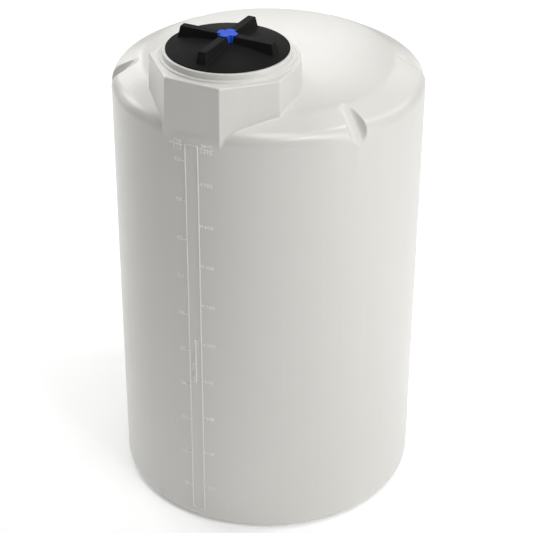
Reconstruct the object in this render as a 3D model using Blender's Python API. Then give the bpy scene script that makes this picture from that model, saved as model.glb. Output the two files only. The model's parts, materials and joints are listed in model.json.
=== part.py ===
"""Upright round storage tank of natural polyethylene with a flat-fronted filling neck and a screw lid.

Metres, +Z up. The origin is at the middle of the flat base, and the neck and the gauge face -Y.
"""
import math

import bmesh
import bpy
from mathutils import Matrix, Vector

# Shell
RADIUS = 0.6096
WALL = 0.0065
BASE_FILLET = 0.0444
WALL_TOP = 1.700
CORNER_HEIGHT = 1.7803
SHOULDER_FILLET = 0.0621
CONE_ANGLE = math.radians(28.66)
CONE_INNER_RADIUS = 0.500
CROWN_HEIGHT = 1.868
CROWN_RADIUS = 0.190
FACETS = 72
WALL_PARTS = 12
ROOF_PARTS = 12
GAP = 0.0003

# Tie-down grooves over the shoulder
GROOVE_TIP = (0.491, 1.8463)
GROOVE_FOOT = (0.6096, 1.7222)
GROOVE_RADIUS = 0.0405
GROOVE_ANGLES = (60, 120, 180, 240, 300)

# Neck, as distances of its flat sides and of its round back from its own axis
NECK_OFFSET = 0.3263
NECK_STEP = 7.5
NECK_FOOT = 1.735
NECK_FOOT_APOTHEM = 0.2725
NECK_KNEE = 1.756
NECK_KNEE_APOTHEM = 0.2781
DECK_HEIGHT = 1.969
DECK_APOTHEM = 0.2706
DECK_FILLET = 0.008
DECK_HOLE_APOTHEM = 0.215

# Mouth, gasket and lid
MOUTH_BORE = 0.2065
LEDGE_HEIGHT = 1.9965
LIP_HEIGHT = 2.0010
LIP_INNER = 0.2225
LID_RADIUS = 0.2298
LID_UNDERSIDE = 2.0014
LID_EDGE = 2.0054
LID_CENTRE = 2.0318
LID_BEND = 1.9
LID_THICKNESS = 0.0055
LID_STATIONS = (0.0215, 0.065, 0.110, 0.155, 0.201)
SKIRT_OUTER = 0.1950
SKIRT_INNER = 0.1900
SKIRT_BOTTOM = 1.955
RIB_TOP = 2.057
RIB_HALF_TOP = 0.0158
RIB_DRAFT = 0.15
RIB_TOP_END = 0.191
VENT_TOP = 2.0605
VENT_PLATE = 2.0575
VENT_ARM_TOP = 0.033
VENT_ARM_FOOT = 0.026
VENT_ARM_HALF = 0.0178
VENT_TURNS = (0, 9, 18, 26.5, 32, 38, 45)
VENT_REACHES = (0.0390, 0.0390, 0.0385, 0.0370, 0.0325, 0.0294, 0.0270)

# Raised gauge frame on the front wall
GAUGE_HALF_WIDTH = 0.0282
GAUGE_BOTTOM = 0.0566
GAUGE_TOP = 1.7308
GAUGE_CORNER = 0.008
GAUGE_LINE = 0.0040
GAUGE_HEIGHT = 0.0025


def clear_scene():
    for item in list(bpy.data.objects):
        bpy.data.objects.remove(item, do_unlink=True)


def make_material(name, colour, roughness, metallic=0.0):
    material = bpy.data.materials.new(name)
    material.use_nodes = True
    shader = material.node_tree.nodes["Principled BSDF"]
    shader.inputs["Base Color"].default_value = (*colour, 1.0)
    shader.inputs["Roughness"].default_value = roughness
    shader.inputs["Metallic"].default_value = metallic
    material.diffuse_color = (*colour, 1.0)
    return material


def add_mesh(name, vertices, faces, material=None, smooth=False):
    mesh = bpy.data.meshes.new(name)
    mesh.from_pydata(vertices, [], faces)
    shape = bmesh.new()
    shape.from_mesh(mesh)
    bmesh.ops.recalc_face_normals(shape, faces=shape.faces)
    shape.to_mesh(mesh)
    shape.free()
    if smooth:
        mesh.shade_smooth()
        mesh.set_sharp_from_angle(angle=math.radians(25))
    if material is not None:
        mesh.materials.append(material)
    obj = bpy.data.objects.new(name, mesh)
    bpy.context.scene.collection.objects.link(obj)
    return obj


def hide_as_tool(obj):
    obj.hide_render = True
    obj.display_type = "WIRE"


def cut(obj, tool, operation="DIFFERENCE"):
    modifier = obj.modifiers.new(tool.name, "BOOLEAN")
    modifier.operation = operation
    modifier.solver = "EXACT"
    modifier.object = tool
    return modifier


def turned(name, outline, centre=(0.0, 0.0), material=None, steps=FACETS, smooth=True):
    """Full turned solid. The outline runs down its outer side, and ends on the axis or closes on itself."""
    closed = outline[0][0] > 1e-9 or outline[-1][0] > 1e-9
    vertices = []
    rings = []
    for radius, height in outline:
        if radius < 1e-9:
            rings.append([len(vertices)])
            vertices.append((centre[0], centre[1], height))
            continue
        ring = []
        for step in range(steps):
            angle = 2 * math.pi * step / steps - math.pi / 2
            across = centre[0] + radius * math.cos(angle)
            along = centre[1] + radius * math.sin(angle)
            ring.append(len(vertices))
            vertices.append((across, along, height))
        rings.append(ring)
    pairs = list(zip(rings[:-1], rings[1:]))
    if closed:
        pairs.append((rings[-1], rings[0]))
    faces = []
    for upper, lower in pairs:
        for step in range(steps):
            after = (step + 1) % steps
            if len(upper) == 1 and len(lower) == 1:
                continue
            if len(upper) == 1:
                faces.append((upper[0], lower[step], lower[after]))
            elif len(lower) == 1:
                faces.append((upper[step], lower[0], upper[after]))
            else:
                faces.append((upper[step], lower[step], lower[after], upper[after]))
    return add_mesh(name, vertices, faces, material, smooth)


def turned_part(name, outline, start, end, material=None):
    """Part of a turned ring between two angles from the front, with half a gap left at each end."""
    stations = [start]
    step = 360 / FACETS
    angle = math.ceil(start / step + 1e-6) * step
    while angle < end - 1e-6:
        stations.append(angle)
        angle += step
    stations.append(end)
    vertices = []
    rings = []
    for index, station in enumerate(stations):
        ring = []
        for radius, height in outline:
            trim = 0.0
            if index == 0:
                trim = math.asin(GAP / 2 / radius)
            if index == len(stations) - 1:
                trim = -math.asin(GAP / 2 / radius)
            turn = math.radians(station) + trim - math.pi / 2
            ring.append(len(vertices))
            vertices.append((radius * math.cos(turn), radius * math.sin(turn), height))
        rings.append(ring)
    count = len(outline)
    faces = []
    for first, second in zip(rings[:-1], rings[1:]):
        for index in range(count):
            after = (index + 1) % count
            faces.append((first[index], first[after], second[after], second[index]))
    faces.append(tuple(reversed(rings[0])))
    faces.append(tuple(rings[-1]))
    return add_mesh(name, vertices, faces, material, True)


def base_curve(radius, fillet, floor, steps=6):
    """Rounded lower edge of the shell, from the wall down and inwards."""
    points = []
    for index in range(steps + 1):
        angle = math.pi / 2 * index / steps
        reach = radius - fillet + fillet * math.cos(angle)
        points.append((reach, floor + fillet - fillet * math.sin(angle)))
    return points


def roof_curve(inset=0.0, steps=6):
    """Roof line from the crown outwards: low dome, cone and rounded shoulder, set in by the wall."""
    radius = RADIUS - inset
    corner = CORNER_HEIGHT - inset * (1 - math.sin(CONE_ANGLE)) / math.cos(CONE_ANGLE)
    fillet = SHOULDER_FILLET - inset
    cone_end = CONE_INNER_RADIUS
    cone_height = corner + (radius - cone_end) * math.tan(CONE_ANGLE)
    points = []
    for share in (0.0, 0.38, 0.62, 0.80, 0.92):
        reach = cone_end * share
        blend = share ** 2.4
        points.append((reach, (CROWN_HEIGHT - inset) * (1 - blend) + cone_height * blend))
    points.append((cone_end, cone_height))
    centre_r = radius - fillet
    centre_z = (radius * math.sin(CONE_ANGLE) + corner * math.cos(CONE_ANGLE) - fillet
                - centre_r * math.sin(CONE_ANGLE)) / math.cos(CONE_ANGLE)
    for index in range(steps + 1):
        angle = (math.pi / 2 - CONE_ANGLE) * (1 - index / steps)
        points.append((centre_r + fillet * math.cos(angle), centre_z + fillet * math.sin(angle)))
    return points


def height_on(curve, radius):
    for (r0, z0), (r1, z1) in zip(curve[:-1], curve[1:]):
        if r0 <= radius <= r1:
            return z0 + (z1 - z0) * (radius - r0) / (r1 - r0)
    return curve[-1][1]


def groove_tool(name, angle, sink):
    """Round-bottomed bar along a groove, sunk further in by sink."""
    tip = Vector((GROOVE_TIP[0], 0.0, GROOVE_TIP[1]))
    foot = Vector((GROOVE_FOOT[0], 0.0, GROOVE_FOOT[1]))
    along = (foot - tip).normalized()
    out = Vector((-along.z, 0.0, along.x))
    side = Vector((0.0, 1.0, 0.0))
    radius = GROOVE_RADIUS + sink
    section = [(0.14, -radius - 0.002)]
    for step in range(9):
        turn = math.pi * step / 8
        section.append((GROOVE_RADIUS - radius * math.sin(turn), -radius * math.cos(turn)))
    section.append((0.14, radius + 0.002))
    count = len(section)
    corners = []
    for point in (tip - along * 0.08, foot + along * 0.08):
        corners += [tuple(point + out * rise + side * across) for rise, across in section]
    faces = [tuple(range(count)), tuple(range(2 * count - 1, count - 1, -1))]
    for index in range(count):
        after = (index + 1) % count
        faces.append((index, count + index, count + after, after))
    obj = add_mesh(name, corners, faces)
    obj.matrix_world = Matrix.Rotation(math.radians(angle - 90), 4, "Z")
    hide_as_tool(obj)
    return obj


def neck_loop(apothem):
    """Outline of the neck round its own axis: flat front sides and a round back of the same half width."""
    points = []
    for turn in (-67.5, -22.5, 22.5, 67.5):
        angle = math.radians(turn)
        corner = apothem / math.cos(math.pi / 8)
        points.append((corner * math.sin(angle), -corner * math.cos(angle)))
    for step in range(25):
        angle = math.radians(90 + step * NECK_STEP)
        points.append((apothem * math.sin(angle), -apothem * math.cos(angle)))
    return points


def neck_tool(name, levels):
    """Solid with the neck's outline, from (apothem, height) levels going up."""
    vertices = []
    for apothem, height in levels:
        vertices += [(x, y - NECK_OFFSET, height) for x, y in neck_loop(apothem)]
    count = len(neck_loop(1.0))
    faces = [tuple(range(count - 1, -1, -1))]
    for level in range(len(levels) - 1):
        for index in range(count):
            after = (index + 1) % count
            low = level * count
            faces.append((low + index, low + after, low + count + after, low + count + index))
    last = (len(levels) - 1) * count
    faces.append(tuple(range(last, last + count)))
    obj = add_mesh(name, vertices, faces)
    hide_as_tool(obj)
    return obj


def deck_edge():
    """Rounded rim of the deck going up, as (apothem, height)."""
    points = []
    for angle in (11, 35, 65, 90):
        turn = math.radians(angle)
        reach = DECK_APOTHEM - DECK_FILLET * (1 - math.cos(turn))
        points.append((reach, DECK_HEIGHT - DECK_FILLET * (1 - math.sin(turn))))
    points[0] = (points[0][0], DECK_HEIGHT - WALL)
    return points


def neck_deck(name, material):
    """Flat ring that closes the neck's top round the mouth."""
    section = deck_edge() + [(DECK_HOLE_APOTHEM, DECK_HEIGHT), (DECK_HOLE_APOTHEM, DECK_HEIGHT - WALL)]
    count = len(section)
    loops = [neck_loop(apothem) for apothem, _ in section]
    stations = len(loops[0])
    vertices = []
    faces = []
    for index in range(stations):
        for loop, (_, height) in zip(loops, section):
            vertices.append((loop[index][0], loop[index][1] - NECK_OFFSET, height))
        start = index * count
        other = (index + 1) % stations * count
        for point in range(count):
            after = (point + 1) % count
            faces.append((start + point, start + after, other + after, other + point))
    return add_mesh(name, vertices, faces, material)


def neck_panel(name, turn, stations, material):
    """One side of the neck below its deck, from ends of a flat or angles of an arc."""
    top = DECK_HEIGHT - WALL - GAP
    section = [(NECK_FOOT_APOTHEM, NECK_FOOT + GAP), (NECK_KNEE_APOTHEM, NECK_KNEE), (DECK_APOTHEM, top)]
    section += [(DECK_APOTHEM - WALL, top), (NECK_KNEE_APOTHEM - WALL, NECK_KNEE)]
    section += [(NECK_FOOT_APOTHEM - WALL, NECK_FOOT + GAP)]
    slack = GAP / 2 / math.cos(math.pi / 8)
    vertices = []
    for kind, value in stations:
        for apothem, height in section:
            if kind == "flat":
                vertices.append((value * (apothem * math.tan(math.pi / 8) - slack), -apothem, height))
            else:
                angle = math.radians(value)
                vertices.append((apothem * math.sin(angle), -apothem * math.cos(angle), height))
    count = len(section)
    last = (len(stations) - 1) * count
    faces = [tuple(range(count)), tuple(range(last + count - 1, last - 1, -1))]
    for station in range(len(stations) - 1):
        low = station * count
        for index in range(count):
            after = (index + 1) % count
            faces.append((low + index, low + index + count, low + after + count, low + after))
    obj = add_mesh(name, vertices, faces, material)
    obj.location = (0.0, -NECK_OFFSET, 0.0)
    obj.rotation_euler = (0.0, 0.0, math.radians(turn))
    return obj


def wall_point(along, height, lift):
    """Point over the faceted front wall, at an arc length from its middle line."""
    angle = along / RADIUS
    step = 2 * math.pi / FACETS
    index = math.floor(angle / step + 1e-9)
    low = index * step
    share = (angle - low) / step
    first = Vector((math.sin(low), -math.cos(low), 0.0)) * RADIUS
    second = Vector((math.sin(low + step), -math.cos(low + step), 0.0)) * RADIUS
    point = first.lerp(second, share)
    normal = Vector((math.sin(low + step / 2), -math.cos(low + step / 2), 0.0))
    if share < 1e-6:
        normal = Vector((math.sin(low), -math.cos(low), 0.0)) / math.cos(step / 2)
    point = point + normal * lift
    return (point.x, point.y, height)


def rounded_loop(half_width, bottom, top, corner):
    """Rounded rectangle as (along, height), with a point wherever it crosses the middle line."""
    points = []
    centres = [(half_width - corner, bottom + corner, -90), (half_width - corner, top - corner, 0),
               (-half_width + corner, top - corner, 90), (-half_width + corner, bottom + corner, 180)]
    for number, (x, z, start) in enumerate(centres):
        if number == 2:
            points.append((0.0, top))
        for index in range(4):
            turn = math.radians(start + 30 * index)
            points.append((x + corner * math.cos(turn), z + corner * math.sin(turn)))
    points.append((0.0, bottom))
    return points


def gauge_frame(name, material):
    outer = rounded_loop(GAUGE_HALF_WIDTH, GAUGE_BOTTOM, GAUGE_TOP, GAUGE_CORNER)
    inner = rounded_loop(GAUGE_HALF_WIDTH - GAUGE_LINE, GAUGE_BOTTOM + GAUGE_LINE, GAUGE_TOP - GAUGE_LINE,
                         GAUGE_CORNER - GAUGE_LINE)
    vertices = []
    for loop, lift in ((outer, GAP), (outer, GAUGE_HEIGHT), (inner, GAUGE_HEIGHT), (inner, GAP)):
        vertices += [wall_point(along, height, lift) for along, height in loop]
    count = len(outer)
    faces = []
    for band in range(4):
        start = band * count
        other = (band + 1) % 4 * count
        for index in range(count):
            after = (index + 1) % count
            faces.append((start + index, start + after, other + after, other + index))
    return add_mesh(name, vertices, faces, material)


def lid_height(radius):
    return LID_CENTRE - (LID_CENTRE - LID_EDGE) * (radius / LID_RADIUS) ** LID_BEND


def rib_solid(name, grow, material=None):
    """Tapered grip rib from the hub outwards along -Y. Grown, it is the slot that the vent cap needs."""
    stations = []
    for number, radius in enumerate(LID_STATIONS):
        foot = lid_height(radius) + GAP
        if grow:
            foot = foot - 0.02
        if number == 0:
            radius = radius - grow
        if number == len(LID_STATIONS) - 1:
            radius = radius + grow
        stations.append((radius, foot, RIB_HALF_TOP + (RIB_TOP - foot) * RIB_DRAFT + grow))
    top = RIB_TOP + grow
    half = RIB_HALF_TOP + grow - grow * RIB_DRAFT
    vertices = []
    for side in (-1, 1):
        vertices.append((side * half, grow - LID_STATIONS[0], top))
        vertices.append((side * half, -RIB_TOP_END - grow, top))
        vertices += [(side * wide, -radius, foot) for radius, foot, wide in reversed(stations)]
    count = len(vertices) // 2
    faces = [tuple(range(count)), tuple(range(2 * count - 1, count - 1, -1))]
    for index in range(count):
        after = (index + 1) % count
        faces.append((index, count + index, count + after, after))
    return add_mesh(name, vertices, faces, material)


def vent_reaches(half, arm):
    """Outline of the cross under the vent cap's plate, at each turn from the middle of an arm."""
    reaches = [arm]
    for turn in VENT_TURNS[1:]:
        angle = math.radians(turn)
        reaches.append(min(arm / math.cos(angle), half / math.sin(angle)))
    return reaches


def vent_cap(name, material):
    """Blue vent cap: a thin plate with four lobes over the ribs, on a cross that clasps their sides."""
    foot = LID_CENTRE + GAP
    half_foot = VENT_ARM_HALF + (VENT_PLATE - foot) * RIB_DRAFT
    levels = [(foot, vent_reaches(half_foot, VENT_ARM_FOOT))]
    levels.append((VENT_PLATE, vent_reaches(VENT_ARM_HALF, VENT_ARM_TOP)))
    levels.append((VENT_PLATE + 0.0002, VENT_REACHES))
    levels.append((VENT_TOP - 0.0008, VENT_REACHES))
    levels.append((VENT_TOP, [reach - 0.0008 for reach in VENT_REACHES]))
    vertices = []
    for height, reaches in levels:
        outline = list(zip(VENT_TURNS, reaches))
        outline += [(90 - turn, reach) for turn, reach in outline[-2:0:-1]]
        for quarter in range(4):
            for turn, reach in outline:
                angle = math.radians(90 * quarter + turn)
                vertices.append((reach * math.sin(angle), -NECK_OFFSET - reach * math.cos(angle), height))
    count = len(vertices) // len(levels)
    last = len(vertices) - count
    faces = [tuple(range(count)), tuple(range(last + count - 1, last - 1, -1))]
    for level in range(len(levels) - 1):
        for index in range(count):
            after = (index + 1) % count
            low = level * count
            faces.append((low + index, low + count + index, low + count + after, low + after))
    return add_mesh(name, vertices, faces, material)


clear_scene()

shell_material = make_material("natural_polyethylene", (0.80, 0.80, 0.77), 0.38)
lid_material = make_material("black_polypropylene", (0.022, 0.022, 0.021), 0.45)
seal_material = make_material("seal_rubber", (0.05, 0.05, 0.05), 0.7)
vent_material = make_material("blue_polypropylene", (0.06, 0.13, 0.62), 0.4)

# Wall, split into upright strips, each with its share of the rounded lower edge
outside = [(RADIUS, WALL_TOP)] + base_curve(RADIUS, BASE_FILLET, 0.0)
inside = [(RADIUS - WALL, WALL_TOP)] + base_curve(RADIUS - WALL, BASE_FILLET - WALL, WALL)
wall_outline = outside + list(reversed(inside))
wall_step = 360 / WALL_PARTS
for number in range(WALL_PARTS):
    middle = number * wall_step
    turned_part(f"wall_{number + 1:02d}", wall_outline, middle - wall_step / 2, middle + wall_step / 2,
                shell_material)

floor_radius = RADIUS - BASE_FILLET - GAP
floor_outline = [(0.0, WALL), (floor_radius, WALL), (floor_radius, 0.0), (0.0, 0.0)]
turned("floor", floor_outline, material=shell_material)

# Inside of the roof, used as the cutter that leaves the shell
hollow_curve = roof_curve(WALL)
hollow_outline = hollow_curve + [(RADIUS - WALL, WALL_TOP - 0.05), (0.0, WALL_TOP - 0.05)]
hollow = turned("hollow", hollow_outline, smooth=False)
hide_as_tool(hollow)
neck_trim = turned("neck_trim", hollow_outline, smooth=False)
hide_as_tool(neck_trim)

grooves = {}
for angle in GROOVE_ANGLES:
    grooves[angle] = groove_tool(f"groove_{angle}", angle, 0.0)
    cut(hollow, groove_tool(f"groove_back_{angle}", angle, WALL))

hole_levels = [(NECK_FOOT_APOTHEM + GAP, NECK_FOOT)]
hole_levels += [(NECK_KNEE_APOTHEM + GAP, NECK_KNEE), (DECK_APOTHEM + GAP, DECK_HEIGHT)]
neck_hole = neck_tool("neck_hole", hole_levels)

# Roof: a crown and twelve sectors, five of them with a groove over the shoulder
roof = roof_curve()
crown_edge = height_on(roof, CROWN_RADIUS)
crown_outline = [point for point in roof if point[0] < CROWN_RADIUS] + [(CROWN_RADIUS, crown_edge)]
crown_outline += [(CROWN_RADIUS, WALL_TOP + 0.05), (0.0, WALL_TOP + 0.05)]
crown = turned("roof_crown", crown_outline, material=shell_material)
cut(crown, hollow)
cut(crown, neck_hole)

sector_start = CROWN_RADIUS + GAP
sector_outline = [(sector_start, height_on(roof, sector_start))]
sector_outline += [point for point in roof if point[0] > sector_start]
sector_outline += [(RADIUS, WALL_TOP + GAP), (sector_start, WALL_TOP + GAP)]
sector_step = 360 / ROOF_PARTS
for number in range(ROOF_PARTS):
    middle = number * sector_step
    sector = turned_part(f"roof_{number + 1:02d}", sector_outline, middle - sector_step / 2,
                         middle + sector_step / 2, shell_material)
    if middle in grooves:
        cut(sector, grooves[middle])
    cut(sector, hollow)
    if math.cos(math.radians(middle)) > 0.4:
        cut(sector, neck_hole)

# Neck: one piece for each eighth of it, flat in front and round behind, and the deck on top
arc_end = 22.5 - math.degrees(GAP / 2 / DECK_APOTHEM)
flat_side = [("flat", -1), ("flat", 1)]
round_side = [("arc", angle) for angle in (-arc_end, -15, -7.5, 0, 7.5, 15, arc_end)]
right_side = [("flat", -1)] + round_side[3:]
left_side = round_side[:4] + [("flat", 1)]
panels = {"front": flat_side, "front_right": flat_side, "right": right_side, "back_right": round_side,
          "back": round_side, "back_left": round_side, "left": left_side, "front_left": flat_side}
for number, (side, stations) in enumerate(panels.items()):
    panel = neck_panel(f"neck_{side}", number * 45, stations, shell_material)
    if side != "front":
        cut(panel, neck_trim)
neck_deck("neck_deck", shell_material)

# Mouth collar with its step, rounded lip and gasket ledge
collar_outline = [(LIP_INNER, LIP_HEIGHT), (0.2305, LIP_HEIGHT), (0.2350, 1.9999), (0.2380, 1.9970),
                  (0.2392, 1.9930), (0.2416, 1.9785), (0.2475, 1.9775), (0.2505, 1.9750),
                  (0.2515, DECK_HEIGHT + GAP), (MOUTH_BORE, DECK_HEIGHT + GAP), (MOUTH_BORE, LEDGE_HEIGHT),
                  (LIP_INNER, LEDGE_HEIGHT)]
neck_axis = (0.0, -NECK_OFFSET)
turned("mouth_collar", collar_outline, neck_axis, shell_material)

gauge_frame("gauge_frame", shell_material)

# Gasket on the ledge
gasket_outline = [(0.2220, LID_UNDERSIDE - GAP), (0.2220, LEDGE_HEIGHT + GAP), (0.2085, LEDGE_HEIGHT + GAP),
                  (0.2085, LID_UNDERSIDE - GAP)]
turned("lid_gasket", gasket_outline, neck_axis, seal_material)

# Lid
cover_outline = [(0.0, LID_CENTRE)]
cover_outline += [(radius, lid_height(radius)) for radius in LID_STATIONS]
cover_outline += [(LID_RADIUS - 0.0012, lid_height(LID_RADIUS - 0.0012)), (LID_RADIUS, LID_EDGE - 0.0012)]
cover_outline += [(LID_RADIUS, LID_UNDERSIDE), (SKIRT_INNER, LID_UNDERSIDE)]
cover_outline += [(radius, lid_height(radius) - LID_THICKNESS) for radius in (SKIRT_INNER - 0.001, 0.110)]
cover_outline += [(0.0, LID_CENTRE - LID_THICKNESS)]
turned("lid_cover", cover_outline, neck_axis, lid_material)
skirt_outline = [(SKIRT_OUTER, LID_UNDERSIDE - GAP), (SKIRT_OUTER, SKIRT_BOTTOM),
                 (SKIRT_INNER, SKIRT_BOTTOM), (SKIRT_INNER, LID_UNDERSIDE - GAP)]
turned("lid_skirt", skirt_outline, neck_axis, lid_material)

vent = vent_cap("vent_cap", vent_material)
for number, side in enumerate(("front", "right", "back", "left")):
    rib = rib_solid(f"lid_rib_{side}", 0.0, lid_material)
    slot = rib_solid(f"rib_slot_{side}", GAP)
    hide_as_tool(slot)
    for piece in (rib, slot):
        piece.location = (0.0, -NECK_OFFSET, 0.0)
        piece.rotation_euler = (0.0, 0.0, math.radians(number * 90))
    cut(vent, slot)
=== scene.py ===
"""Looks of the upright storage tank: moulded shell, flat-fronted neck, ribbed lid, raised gauge and studio.

Metres, in the row frame. The neck and the gauge face -Y, and angles round the tank count from there to +X.
"""
import json
import math
from collections import Counter

import bmesh
import bpy
import numpy as np
from mathutils import Matrix, Vector
from mathutils.geometry import delaunay_2d_cdt


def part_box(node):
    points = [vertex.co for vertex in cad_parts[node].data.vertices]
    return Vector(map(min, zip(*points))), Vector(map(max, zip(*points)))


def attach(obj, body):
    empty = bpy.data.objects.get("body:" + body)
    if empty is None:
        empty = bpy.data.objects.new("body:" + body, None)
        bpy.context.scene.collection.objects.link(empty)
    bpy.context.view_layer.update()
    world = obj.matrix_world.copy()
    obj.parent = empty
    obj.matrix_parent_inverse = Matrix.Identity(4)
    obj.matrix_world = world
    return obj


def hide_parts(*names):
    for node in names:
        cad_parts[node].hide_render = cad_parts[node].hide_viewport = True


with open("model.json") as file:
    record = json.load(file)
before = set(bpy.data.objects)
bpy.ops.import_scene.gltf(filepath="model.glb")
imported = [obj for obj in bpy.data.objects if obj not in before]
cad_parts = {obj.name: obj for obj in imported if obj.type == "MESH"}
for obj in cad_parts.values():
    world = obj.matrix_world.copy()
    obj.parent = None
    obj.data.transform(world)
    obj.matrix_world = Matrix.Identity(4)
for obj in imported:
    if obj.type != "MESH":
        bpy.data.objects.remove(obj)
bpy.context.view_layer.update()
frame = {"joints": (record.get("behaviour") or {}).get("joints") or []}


# Sizes that the CAD nodes give, to a tenth of a millimetre

def right_of(node):
    return round(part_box(node)[1].x, 4)


def bottom_of(node):
    return round(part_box(node)[0].z, 4)


def top_of(node):
    return round(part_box(node)[1].z, 4)


# Shell
RADIUS = right_of("wall_04")
WALL = top_of("floor")
BASE_FILLET = 0.0444
CORNER_HEIGHT = 1.7803
SHOULDER_FILLET = 0.0621
CONE_ANGLE = math.radians(28.66)
CONE_INNER_RADIUS = 0.500
CROWN_HEIGHT = top_of("roof_crown")
CREASE = 0.008

# Tie-down grooves over the shoulder
GROOVE_TIP = (0.491, 1.8463)
GROOVE_FOOT = (RADIUS, 1.7222)
GROOVE_RADIUS = 0.0405
GROOVE_ANGLES = tuple(math.radians(turn) for turn in (60, 120, 180, 240, 300))
GROOVE_EDGE = 0.0050
GROOVE_TURN = 0.14
GROOVE_MARGIN = math.radians(8.5)

# Neck
NECK_OFFSET = -next(joint["pos_m"][1] for joint in frame["joints"] if joint["name"] == "lid_turn")
NECK_KNEE = 1.756
NECK_KNEE_APOTHEM = 0.2781
NECK_TAPER = 0.267
DECK_HEIGHT = top_of("neck_deck")
DECK_APOTHEM = 0.2706
DECK_FILLET = 0.008
NECK_EDGE = 0.008
FOOT_BLEND = 0.005
FOOT_REACH = 0.024
# Pin marks: flat side, counted round from the front, and height
PIN_MARKS = ((0, 1.869), (1, 1.887), (7, 1.887))
PIN_STRIP = 0.0545
PIN_HALF = 0.006

# Mouth and lid
MOUTH_BORE = 0.2065
SKIN_MOUTH = 0.2490
LINING_MOUTH = 0.2120
LEDGE_HEIGHT = 1.9965
LIP_HEIGHT = top_of("mouth_collar")
LIP_INNER = 0.2225
LID_RADIUS = right_of("lid_cover")
LID_UNDERSIDE = bottom_of("lid_cover")
LID_EDGE = 2.0054
LID_CENTRE = top_of("lid_cover")
LID_BEND = 1.9
LID_THICKNESS = 0.0055
SKIRT_OUTER = right_of("lid_skirt")
SKIRT_INNER = 0.1900
SKIRT_BOTTOM = bottom_of("lid_skirt")
THREAD_CREST = 0.1985
THREAD_PITCH = 0.0125
TURN_STEPS = 192
RIB_TOP = top_of("lid_rib_front")
RIB_HALF_TOP = 0.0158
RIB_DRAFT = 0.15
RIB_START = 0.0215
RIB_TOP_END = 0.191
RIB_END_DRAFT = 0.22
RIB_EDGE = 0.0020
RIB_FLARE = 0.0032
RIB_CORNER = 0.0045
VENT_TOP = top_of("vent_cap")
VENT_PLATE = 2.0575
VENT_ARM_TOP = 0.033
VENT_ARM_FOOT = 0.030
VENT_ARM_HALF = 0.0178

# Gauge
RAIL_ARC = 0.0262
GAUGE_BOTTOM = 0.0586
GAUGE_TOP = 1.7288
GAUGE_FRONT = round(-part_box("gauge_frame")[0].y, 4)
GALLON_STEP = 0.16561
LITRE_STEP = 0.1750
GALLON_TICK = (-0.0275, -0.0350, -0.0435)
LITRE_TICK = (0.0275, 0.0320, 0.0375)
NUMBER_TALL = 0.0160
ZERO_HEIGHT = 0.0015
NUMBER_RISE = 0.0014
# Width and rise of the gauge's beads
RAIL = (0.0044, 0.0030)
TICK = (0.0038, 0.0026)
HEAD_LINE = (0.0040, 0.0026)
MIDDLE_LINE = (0.0044, 0.0024)

EIGHTH = math.pi / 8
QUARTER = math.pi / 4


# Shapes of the shell

def smooth_min(first, second, blend):
    share = np.maximum(blend - np.abs(first - second), 0.0) / blend
    return np.minimum(first, second) - share * share * blend / 4


def smooth_max(first, second, blend):
    return -smooth_min(-first, -second, blend)


CONE_HEIGHT = CORNER_HEIGHT + (RADIUS - CONE_INNER_RADIUS) * math.tan(CONE_ANGLE)
DOME_FALL = (CROWN_HEIGHT - CONE_HEIGHT) / CONE_INNER_RADIUS ** 2.4
FILLET_R = RADIUS - SHOULDER_FILLET
FILLET_Z = (RADIUS * math.sin(CONE_ANGLE) + CORNER_HEIGHT * math.cos(CONE_ANGLE) - SHOULDER_FILLET
            - FILLET_R * math.sin(CONE_ANGLE)) / math.cos(CONE_ANGLE)
CONE_END = FILLET_R + SHOULDER_FILLET * math.sin(CONE_ANGLE)
ROOF_STATIONS = 1600


def roof_height(radius):
    """Low dome that runs over into the sloping shoulder."""
    dome = CROWN_HEIGHT - DOME_FALL * np.abs(radius) ** 2.4
    cone = CORNER_HEIGHT + (RADIUS - np.abs(radius)) * math.tan(CONE_ANGLE)
    return smooth_min(dome, cone, CREASE)


def profile_table():
    """Outer line of the shell from the crown to the middle of the floor: run, radius, height, normal."""
    points = [(radius, float(roof_height(radius))) for radius in np.linspace(0.0, CONE_END, ROOF_STATIONS)]
    for angle in np.linspace(math.pi / 2 - CONE_ANGLE, 0.0, 300)[1:]:
        points.append((FILLET_R + SHOULDER_FILLET * math.cos(angle),
                       FILLET_Z + SHOULDER_FILLET * math.sin(angle)))
    for height in np.linspace(FILLET_Z, BASE_FILLET, 60)[1:]:
        points.append((RADIUS, height))
    for angle in np.linspace(0.0, math.pi / 2, 120)[1:]:
        points.append((RADIUS - BASE_FILLET + BASE_FILLET * math.cos(angle),
                       BASE_FILLET - BASE_FILLET * math.sin(angle)))
    for radius in np.linspace(RADIUS - BASE_FILLET, 0.0, 40)[1:]:
        points.append((radius, 0.0))
    table = np.array(points)
    steps = np.diff(table, axis=0)
    run = np.concatenate([[0.0], np.cumsum(np.hypot(steps[:, 0], steps[:, 1]))])
    along = np.gradient(table, run, axis=0)
    along /= np.linalg.norm(along, axis=1)[:, None]
    return run, table[:, 0], table[:, 1], -along[:, 1], along[:, 0]


RUN, RUN_R, RUN_Z, RUN_NR, RUN_NZ = profile_table()
RUN_END = float(RUN[-1])
WALL_RUN = float(np.interp(-FILLET_Z, -RUN_Z, RUN))
BASE_RUN = WALL_RUN + FILLET_Z - BASE_FILLET
GROOVE_END = WALL_RUN + 0.060
GRID_START = 0.455
NECK_ZONE = 0.90


def section(run):
    """Radius, height and outward normal of the shell's outer line."""
    radius, height = np.interp(run, RUN, RUN_R), np.interp(run, RUN, RUN_Z)
    out, up = np.interp(run, RUN, RUN_NR), np.interp(run, RUN, RUN_NZ)
    size = np.hypot(out, up)
    return radius, height, out / size, up / size


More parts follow.
